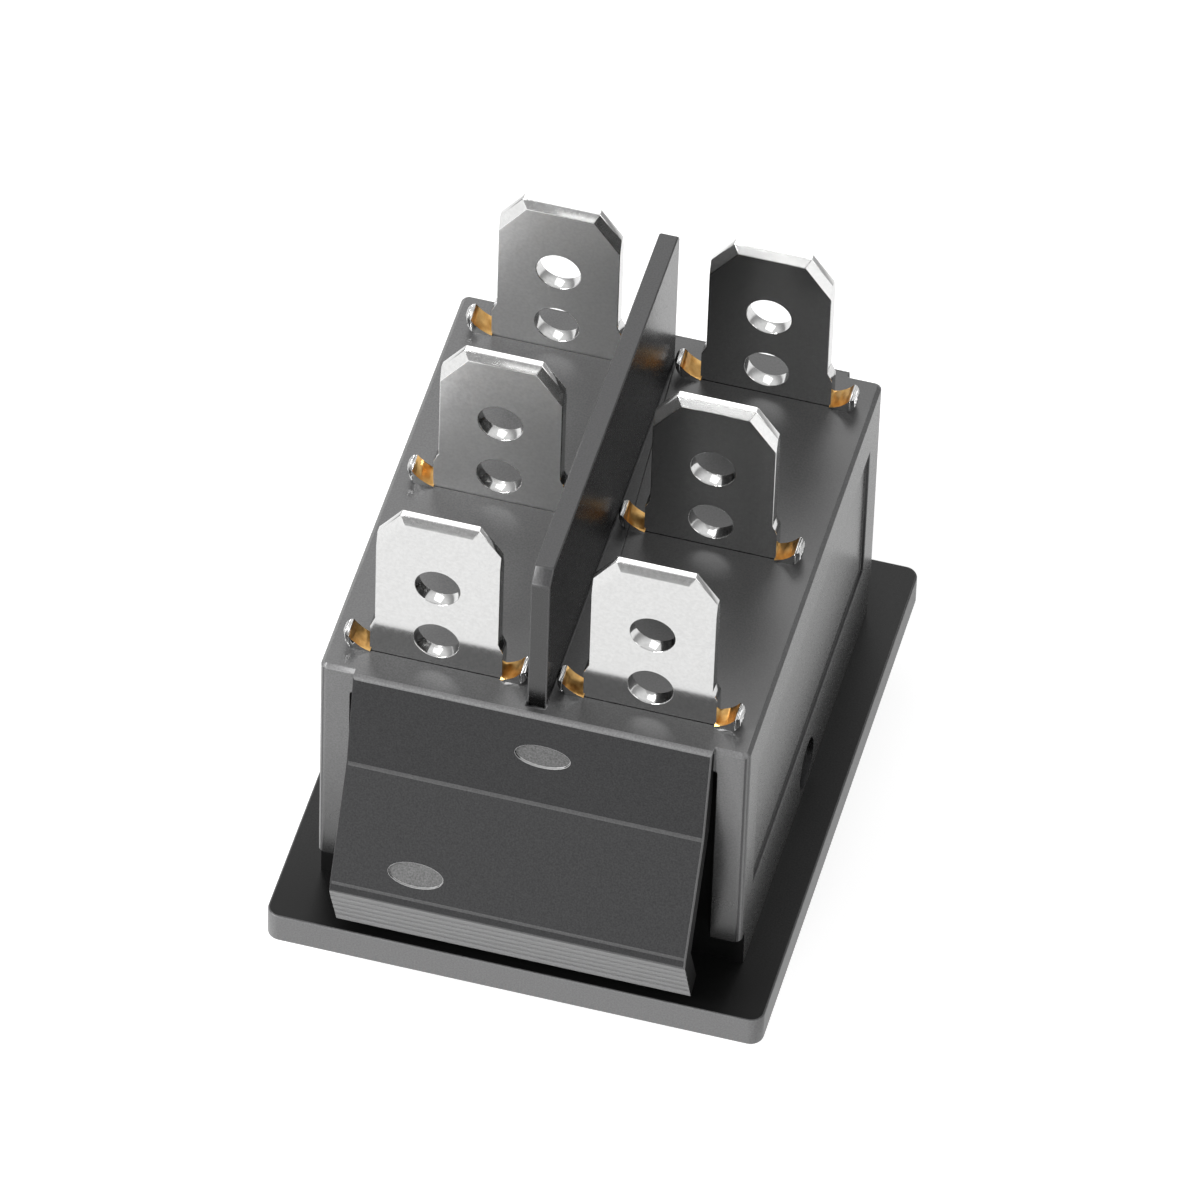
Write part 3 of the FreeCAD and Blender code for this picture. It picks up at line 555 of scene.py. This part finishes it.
# %% Copy a CAD part
MERGE_DISTANCE = 0.0005 * MM
FLAT_TURN = math.radians(0.3)
SHORTEST_EDGE = 0.002 * MM


def copy_of(node_name, name):
    """A separate object with its own mesh, made of the CAD part's triangles joined into faces."""
    piece = nodes[node_name].copy()
    piece.data = nodes[node_name].data.copy()
    piece.name = name
    bpy.context.scene.collection.objects.link(piece)
    bpy.ops.object.select_all(action="DESELECT")
    piece.select_set(True)
    bpy.context.view_layer.objects.active = piece
    bpy.ops.object.mode_set(mode="EDIT")
    bpy.ops.mesh.select_all(action="SELECT")
    bpy.ops.mesh.remove_doubles(threshold=MERGE_DISTANCE)
    bpy.ops.mesh.dissolve_limited(angle_limit=FLAT_TURN)
    bpy.ops.mesh.dissolve_degenerate(threshold=SHORTEST_EDGE)
    bpy.ops.object.mode_set(mode="OBJECT")
    print(name, "has", len(piece.data.polygons), "faces")
    return piece


# %% Widths for its edges
LEAST_TURN = 11.5
SLIVER_WIDTH = 0.004 * MM


def face_normals_at(mesh):
    """The normals of the faces at each edge, by the edge's pair of corners, without slivers."""
    sides = {}
    corners = mesh.vertices
    for face in mesh.polygons:
        way_round = sum((corners[a].co - corners[b].co).length for a, b in face.edge_keys)
        if 2 * face.area < SLIVER_WIDTH * way_round:
            continue
        for key in face.edge_keys:
            sides.setdefault(key, []).append(face.normal.copy())
    return sides


def write_widths(mesh, width_at):
    """Writes each edge's rounding as a share of the widest one, which it returns."""
    sides = face_normals_at(mesh)
    widths = []
    for edge in mesh.edges:
        normals = sides.get(edge.key)
        turn = math.degrees(normals[0].angle(normals[-1])) if normals else 0.0
        middle = (mesh.vertices[edge.vertices[0]].co + mesh.vertices[edge.vertices[1]].co) / 2
        widths.append(width_at(middle) if turn > LEAST_TURN else 0.0)
    widest = max(widths)
    weights = mesh.attributes.new("bevel_weight_edge", "FLOAT", "EDGE")
    for place, width in zip(weights.data, widths):
        place.value = width / widest
    return widest


# %% Round its edges
SMOOTH_TURN = math.radians(35.0)
SQUARE = 0.99999
ROUNDING_SEGMENTS = 2
FULL_AREA_WEIGHT = 100
STRIP_SLOT = 1


def keep_planes_flat(mesh):
    """Gives each face that stands square to an axis its own normal at all its corners."""
    normals = [corner.vector.copy() for corner in mesh.corner_normals]
    for face in mesh.polygons:
        if max(abs(part) for part in face.normal) > SQUARE:
            for corner in face.loop_indices:
                normals[corner] = face.normal.copy()
    mesh.normals_split_custom_set(normals)


def round_edges(piece, width_at, strip=None):
    """Rounds each edge by the width for its place. The new strips can take a second material, such
    as a painted highlight.
    """
    bevel = piece.modifiers.new("rounded_edges", "BEVEL")
    bevel.width = write_widths(piece.data, width_at)
    bevel.segments = ROUNDING_SEGMENTS
    bevel.limit_method = "WEIGHT"
    bevel.use_clamp_overlap = False
    bevel.loop_slide = False
    bevel.miter_outer = "MITER_ARC"
    if strip:
        piece.data.materials.append(strip)
        bevel.material = STRIP_SLOT
    bpy.ops.object.modifier_apply(modifier=bevel.name)
    bpy.ops.object.shade_smooth_by_angle(angle=SMOOTH_TURN)
    flat = piece.modifiers.new("flat_faces_stay_flat", "WEIGHTED_NORMAL")
    flat.mode = "FACE_AREA"
    flat.weight = FULL_AREA_WEIGHT
    flat.keep_sharp = True
    bpy.ops.object.modifier_apply(modifier=flat.name)
    keep_planes_flat(piece.data)
    print(piece.name, "has", len(piece.data.polygons), "faces once its edges are rounded")


# %% Give a material to some of its faces
def use_material(piece, material, chosen, kept=None):
    """Gives a material to the faces for which chosen(centre, normal, area) is true.

    Faces in the kept slot stay as they are.
    """
    piece.data.materials.append(material)
    slot = len(piece.data.materials) - 1
    count = 0
    for face in piece.data.polygons:
        if face.material_index != kept and chosen(face.center, face.normal, face.area):
            face.material_index = slot
            count += 1
    print(piece.name, "faces in", material.name + ":", count)


# %% [markdown]
# ## The housing moulding
# The housing is one moulding, so it stays one piece, and its surfaces are told apart by their
# place and the way they face. Painting them by hand would be lost when the model changes. Its
# sharpest edges are the outer ones of the base, its roundest is the root of each latch, and the
# hidden foot and slots stay sharp.

# %% Places on the moulding
BODY_HALF_LENGTH = 13.2 * MM
BODY_HALF_WIDTH = 10.95 * MM
RECESS_HALF_LENGTH = 12.4 * MM
RECESS_HALF_WIDTH = 9.3 * MM
RECESS_MARGIN = 0.1 * MM
LATCH_HALF_WIDTH = 9.16 * MM
LATCH_STANDOFF = 0.1 * MM
LATCH_FOOT = 0.3 * MM
CREASE = 10.9 * MM
CREST = 4.45 * MM
MARKS = [(0.7 * MM, 13.8 * MM), (-4.9 * MM, 6.2 * MM)]
MARK_HALF_WIDTH = 1.4 * MM
MARK_HALF_LENGTH = 0.62 * MM
MARK_RIM_REACH = 1.15
SLOT_MARGIN = 0.2 * MM
SLOT_HALF_DEPTH = 0.6 * MM
SLOT_FOOT = 14.0 * MM
TOUCHING = 0.02 * MM
NEAR = 0.05 * MM


def in_slot(place):
    in_pole = abs(abs(place.x) - POLE) < SHOULDER + SLOT_MARGIN
    in_row = any(abs(place.y - row) < SLOT_HALF_DEPTH for row in ROWS.values())
    return in_pole and in_row and place.z > SLOT_FOOT


def on_latch(place):
    outside = abs(place.y) > BODY_HALF_LENGTH + LATCH_STANDOFF
    return outside and abs(place.x) < LATCH_HALF_WIDTH and place.z > LATCH_FOOT


def in_mark(place, reach=1.0):
    across = MARK_HALF_WIDTH * reach
    along = MARK_HALF_LENGTH * reach
    return on_latch(place) and any(
        math.hypot((place.x - x) / across, (place.z - z) / along) < 1.0 for x, z in MARKS
    )


def in_recess(place):
    inside = abs(place.x) < RECESS_HALF_WIDTH + RECESS_MARGIN
    return inside and abs(place.y) > RECESS_HALF_LENGTH - RECESS_MARGIN


# %% Outer edges of the body
RIM_DEPTH = 0.25 * MM
RIM_FROM_X = 10.6 * MM
RIM_FROM_Y = 12.8 * MM
CORNER_FROM_X = 10.8 * MM
CORNER_FROM_Y = 13.0 * MM
CORNER_FOOT = 0.1 * MM
FOOT_HALF_WIDTH = 11.5 * MM
FOOT_HALF_LENGTH = 13.6 * MM
FOOT_TOP = 2.45 * MM
PANEL_FROM_X = 10.7 * MM
PANEL_HALF_LENGTH = 11.1 * MM
PANEL_FOOT = 4.4 * MM
PANEL_TOP = 13.4 * MM


def on_rim(place):
    near_top = BASE_TOP - RIM_DEPTH < place.z < BASE_TOP + TOUCHING
    return near_top and (abs(place.x) > RIM_FROM_X or abs(place.y) > RIM_FROM_Y)


def at_corner(place):
    outside = abs(place.x) > CORNER_FROM_X and abs(place.y) > CORNER_FROM_Y
    return outside and place.z > CORNER_FOOT


def at_foot(place):
    inside = abs(place.x) < FOOT_HALF_WIDTH and abs(place.y) < FOOT_HALF_LENGTH
    return inside and -NEAR < place.z < FOOT_TOP


def on_side_panel(place):
    outside = abs(place.x) > PANEL_FROM_X and abs(place.y) < PANEL_HALF_LENGTH
    return outside and PANEL_FOOT < place.z < PANEL_TOP


# %% How round each edge of the moulding is
FLANGE_FRONT_FROM = -1.5 * MM
FLANGE_FRONT_WIDTH = 0.04 * MM
FINE_WIDTH = 0.03 * MM
LATCH_ROOT_WIDTH = 0.22 * MM
CREASE_WIDTH = 0.12 * MM
SIDE_PANEL_WIDTH = 0.05 * MM
USUAL_WIDTH = 0.09 * MM


def moulding_width(place):
    if in_slot(place) or (on_latch(place) and place.z < CREST - NEAR) or at_foot(place):
        return 0.0
    if place.z < FLANGE_FRONT_FROM:
        return FLANGE_FRONT_WIDTH
    if in_mark(place, MARK_RIM_REACH):
        return FINE_WIDTH
    if on_latch(place) and abs(place.z - BASE_TOP) < NEAR:
        return LATCH_ROOT_WIDTH
    if on_rim(place) or at_corner(place):
        return FINE_WIDTH
    if on_latch(place) and abs(place.z - CREASE) < NEAR:
        return CREASE_WIDTH
    if on_side_panel(place):
        return SIDE_PANEL_WIDTH
    return USUAL_WIDTH


# %% Surfaces of the body
FACING = 0.9
WALL_TOP_GAP = 0.1 * MM
SIDE_DEPTH = 0.3 * MM
DIVIDER_REACH = 0.6 * MM
UPRIGHT = 0.3
TURNED_BOTH_WAYS = 0.2
NOT_LEVEL = 0.98
RIM_AREA = 12.0 * MM * MM
BACK_WALL_TOP = 14.6 * MM
BESIDE_LATCH_GAP = 0.3 * MM
RELIEF_TOP = 2.4 * MM


def on_wall(centre):
    return TOUCHING < centre.z < BASE_TOP - WALL_TOP_GAP


def is_post(centre, normal, area):
    return abs(normal.y) > FACING and abs(centre.x) > RECESS_HALF_WIDTH and on_wall(centre)


def is_side(centre, normal, area):
    outside = abs(centre.x) > BODY_HALF_WIDTH - SIDE_DEPTH
    return abs(normal.x) > SQUARE and outside and on_wall(centre)


def is_top(centre, normal, area):
    return normal.z > SQUARE and abs(centre.z - BASE_TOP) < NEAR


def is_divider_face(centre, normal, area):
    in_middle = abs(centre.x) < DIVIDER_REACH and centre.z > BASE_TOP
    return in_middle and abs(normal.z) < UPRIGHT


def is_recess_in_shade(centre, normal, area):
    """The walls of the recess behind and beside a latch, but not the foot of the left post, for a
    painted shade.
    """
    beside_latch = abs(normal.x) > FACING and centre.z < BASE_TOP - BESIDE_LATCH_GAP
    back_wall = abs(centre.y) < BODY_HALF_LENGTH and abs(normal.z) < FACING
    foot_of_left_post = centre.x < -RECESS_HALF_WIDTH and centre.z < RELIEF_TOP
    shaded = back_wall and centre.z < BACK_WALL_TOP and not foot_of_left_post
    return in_recess(centre) and (beside_latch or shaded)


def is_rim(centre, normal, area):
    both_ways = abs(normal.x) > TURNED_BOTH_WAYS and abs(normal.y) > TURNED_BOTH_WAYS
    upright = at_corner(centre) and centre.z < BASE_TOP and both_ways
    return upright or (on_rim(centre) and abs(normal.z) < NOT_LEVEL and area < RIM_AREA)


# %% Surfaces of the flange
FLANGE_RIM_OUT = 1.0 * MM
NOT_FRONT = 0.8
FLANGE_END = 2.8 * MM
FLANGE_CORNER = 0.7 * MM
FLANGE_CHAMFER = 0.4 * MM
FLANGE_CHAMFER_LEFT = 0.12 * MM
FLANGE_EDGE_FROM = -0.7 * MM
FLANGE_FRONT_EDGE = 0.1 * MM
ROUNDING_ERROR = 0.01 * MM


def is_flange(centre, normal, area):
    return normal.z > SQUARE and abs(centre.z) < TOUCHING


def is_flange_rim(centre, normal, area):
    outside = (
        abs(centre.x) > BODY_HALF_WIDTH + FLANGE_RIM_OUT
        or abs(centre.y) > BODY_HALF_LENGTH + FLANGE_RIM_OUT
    )
    return outside and centre.z < -NEAR and abs(normal.z) < NOT_FRONT


def trim_flange_edge(piece):
    """Moves the two edges of the flange's front chamfer together, so that a narrow one is left."""
    half_width, half_length = housing_high.x, BODY_HALF_LENGTH + FLANGE_END
    trim = FLANGE_CHAMFER - FLANGE_CHAMFER_LEFT
    moved = 0
    for vertex in piece.data.vertices:
        place = vertex.co
        out_x = abs(place.x) - half_width + FLANGE_CORNER
        out_y = abs(place.y) - half_length + FLANGE_CORNER
        out = Vector((out_x, out_y, 0.0))
        if min(out.x, out.y) < -ROUNDING_ERROR or place.z > FLANGE_EDGE_FROM:
            continue
        moved += 1
        if place.z > housing_low.z + FLANGE_FRONT_EDGE:
            place.z -= trim
        else:
            out = out.normalized() * trim
            place.x += math.copysign(out.x, place.x)
            place.y += math.copysign(out.y, place.y)
    print(piece.name, "points moved at the flange's front chamfer:", moved)


# %% Surfaces of the latches
NOT_SIDEWAYS = 0.5
CREASE_REACH = 0.3 * MM
EDGE_REACH = 0.15 * MM
STRIP_AREA = 1.4 * MM * MM
MARK_AREA = 3.2 * MM * MM
MARK_RIM_AREA = 0.04 * MM * MM


def is_latch(centre, normal, area):
    return on_latch(centre) and abs(normal.x) < NOT_SIDEWAYS


def is_ramp(centre, normal, area):
    return is_latch(centre, normal, area) and centre.z < CREST and normal.y * centre.y > 0.0


def is_crease(centre, normal, area):
    right_edge = centre.z > CREST and centre.x > LATCH_HALF_WIDTH - EDGE_REACH
    at_crease = abs(centre.z - CREASE) < CREASE_REACH
    return on_latch(centre) and (at_crease or right_edge) and area < STRIP_AREA


def is_left_edge(centre, normal, area):
    left_edge = centre.z > CREST and centre.x < -LATCH_HALF_WIDTH + EDGE_REACH
    return on_latch(centre) and left_edge and area < STRIP_AREA


def is_mark(centre, normal, area):
    return is_latch(centre, normal, area) and in_mark(centre) and area < MARK_AREA


def is_mark_rim(centre, normal, area):
    near_mark = in_mark(centre, MARK_RIM_REACH)
    return is_latch(centre, normal, area) and near_mark and area < MARK_RIM_AREA


# %% The moulding
# A later row wins where two choose the same face. The slot at the end of a row is left alone.
# Apart from the grey of the marks, these materials carry painted light, shade and highlights.
SURFACES = [
    (WALL_LIT_SHADED_BLACK, is_post, STRIP_SLOT),
    (TOP_LIT_SHADED_BLACK, is_top, None),
    (SIDE_LIT_BLACK, is_side, None),
    (DIVIDER_SHADED_BLACK, is_divider_face, STRIP_SLOT),
    (FLANGE_SHADED_BLACK, is_flange, None),
    (FLANGE_RIM_LIT_BLACK, is_flange_rim, None),
    (LATCH_SHADED_BLACK, is_latch, STRIP_SLOT),
    (RAMP_LIT_BLACK, is_ramp, STRIP_SLOT),
    (RECESS_SHADED_BLACK, is_recess_in_shade, None),
    (CREASE_HIGHLIGHT_GREY, is_crease, None),
    (LATCH_SHADED_BLACK, is_left_edge, None),
    (RIM_HIGHLIGHT_GREY, is_rim, None),
    (MARK_GREY, is_mark, None),
    (MARK_EDGE_HIGHLIGHT_GREY, is_mark_rim, None),
]

housing = copy_of("housing", "housing_moulding")
trim_flange_edge(housing)
round_edges(housing, moulding_width, EDGE_HIGHLIGHT_BLACK)
for surface_material, is_on_surface, slot_left_alone in SURFACES:
    use_material(housing, surface_material, is_on_surface, slot_left_alone)
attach(housing, "housing")
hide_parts("housing")

# %% [markdown]
# ## The rocker
# The rocker is a smooth black paddle on the far side, and hardly any of it shows from behind. It
# turns in the bezel, so it is a piece of its own. All its edges are equally round.

# %% The rocker
ROCKER_WIDTH = 0.09 * MM


def rocker_width(place):
    return ROCKER_WIDTH


rocker = copy_of("rocker", "rocker_moulding")
round_edges(rocker, rocker_width)
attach(rocker, "rocker")
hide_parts("rocker")

# %% [markdown]
# ## The springs
# Each spring stands in its tube on the rocker and presses on a plunger. When the plunger goes in,
# the spring shortens towards its seat by as much as the plunger moves. A CAD part rides whole on
# its body, so a copy of each spring takes its place on the rocker, with a mesh of its own.

for side, pole in POLES.items():
    spring = copy_of(f"spring_{side}", f"spring_wire_{side}")
    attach(spring, "rocker")
    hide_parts(f"spring_{side}")
    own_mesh(spring)

# %% [markdown]
# ## Tabs with sheared ears
# The tabs are stamped from plated brass sheet. Their broad faces keep the bright plating, but
# the ears were split off with a punch when the tab was fixed in the base, so the cut surfaces
# on top of the ears show bare brass. In the middle and rear rows, the left tabs get a rougher
# plating on their broad faces and the right tabs at their tip, both in a lighter colour that is
# painted light.

# %% Surfaces of a tab
TAB_EDGE_WIDTH = 0.04 * MM
TAB_EDGE_MARGIN = 0.1 * MM
TAB_FOOT_DEPTH = 0.3 * MM
BROAD = 0.98
TIP_LENGTH = 2.6 * MM
EAR_ROOT_MARGIN = 0.1 * MM
EAR_TOP = 1.4 * MM
EAR_TIP = 1.0 * MM
EAR_FACE_Y = 0.5
EAR_FACE_Z = 0.2


def tab_width(place):
    beside_tab = abs(abs(place.x) - POLE) > SHOULDER - TAB_EDGE_MARGIN
    return 0.0 if beside_tab and place.z > BASE_TOP - TAB_FOOT_DEPTH else TAB_EDGE_WIDTH


def is_broad(centre, normal, area):
    return abs(normal.y) > BROAD and centre.z > BASE_TOP - TAB_FOOT_DEPTH


def is_tip(centre, normal, area):
    return centre.z > TAB_TOP - TIP_LENGTH and abs(normal.y) < BROAD


def is_sheared(pole):
    """The test for the cut tops of the ears beside one pole."""
    def chosen(centre, normal, area):
        out = abs(centre.x - pole) - SHOULDER
        on_ear = BASE_TOP < centre.z < BASE_TOP + EAR_TOP and -EAR_ROOT_MARGIN < out < EAR_TIP
        return on_ear and abs(normal.y) < EAR_FACE_Y and normal.z > EAR_FACE_Z
    return chosen


# %% The six terminals
for side, pole in POLES.items():
    for row in ROWS:
        node_name = f"terminal_{side}_{row}"
        terminal = copy_of(node_name, f"tab_{side}_{row}")
        round_edges(terminal, tab_width)
        # Painted light: the left middle and rear tabs get a lighter plating, the right ones a
        # lighter tip.
        if side == "left" and row != "front":
            use_material(terminal, SATIN_LIT_PLATING, is_broad)
        if side == "right" and row != "front":
            use_material(terminal, TIP_LIT_PLATING, is_tip)
        use_material(terminal, SHEARED_BRASS, is_sheared(pole))
        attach(terminal, "housing")
        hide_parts(node_name)
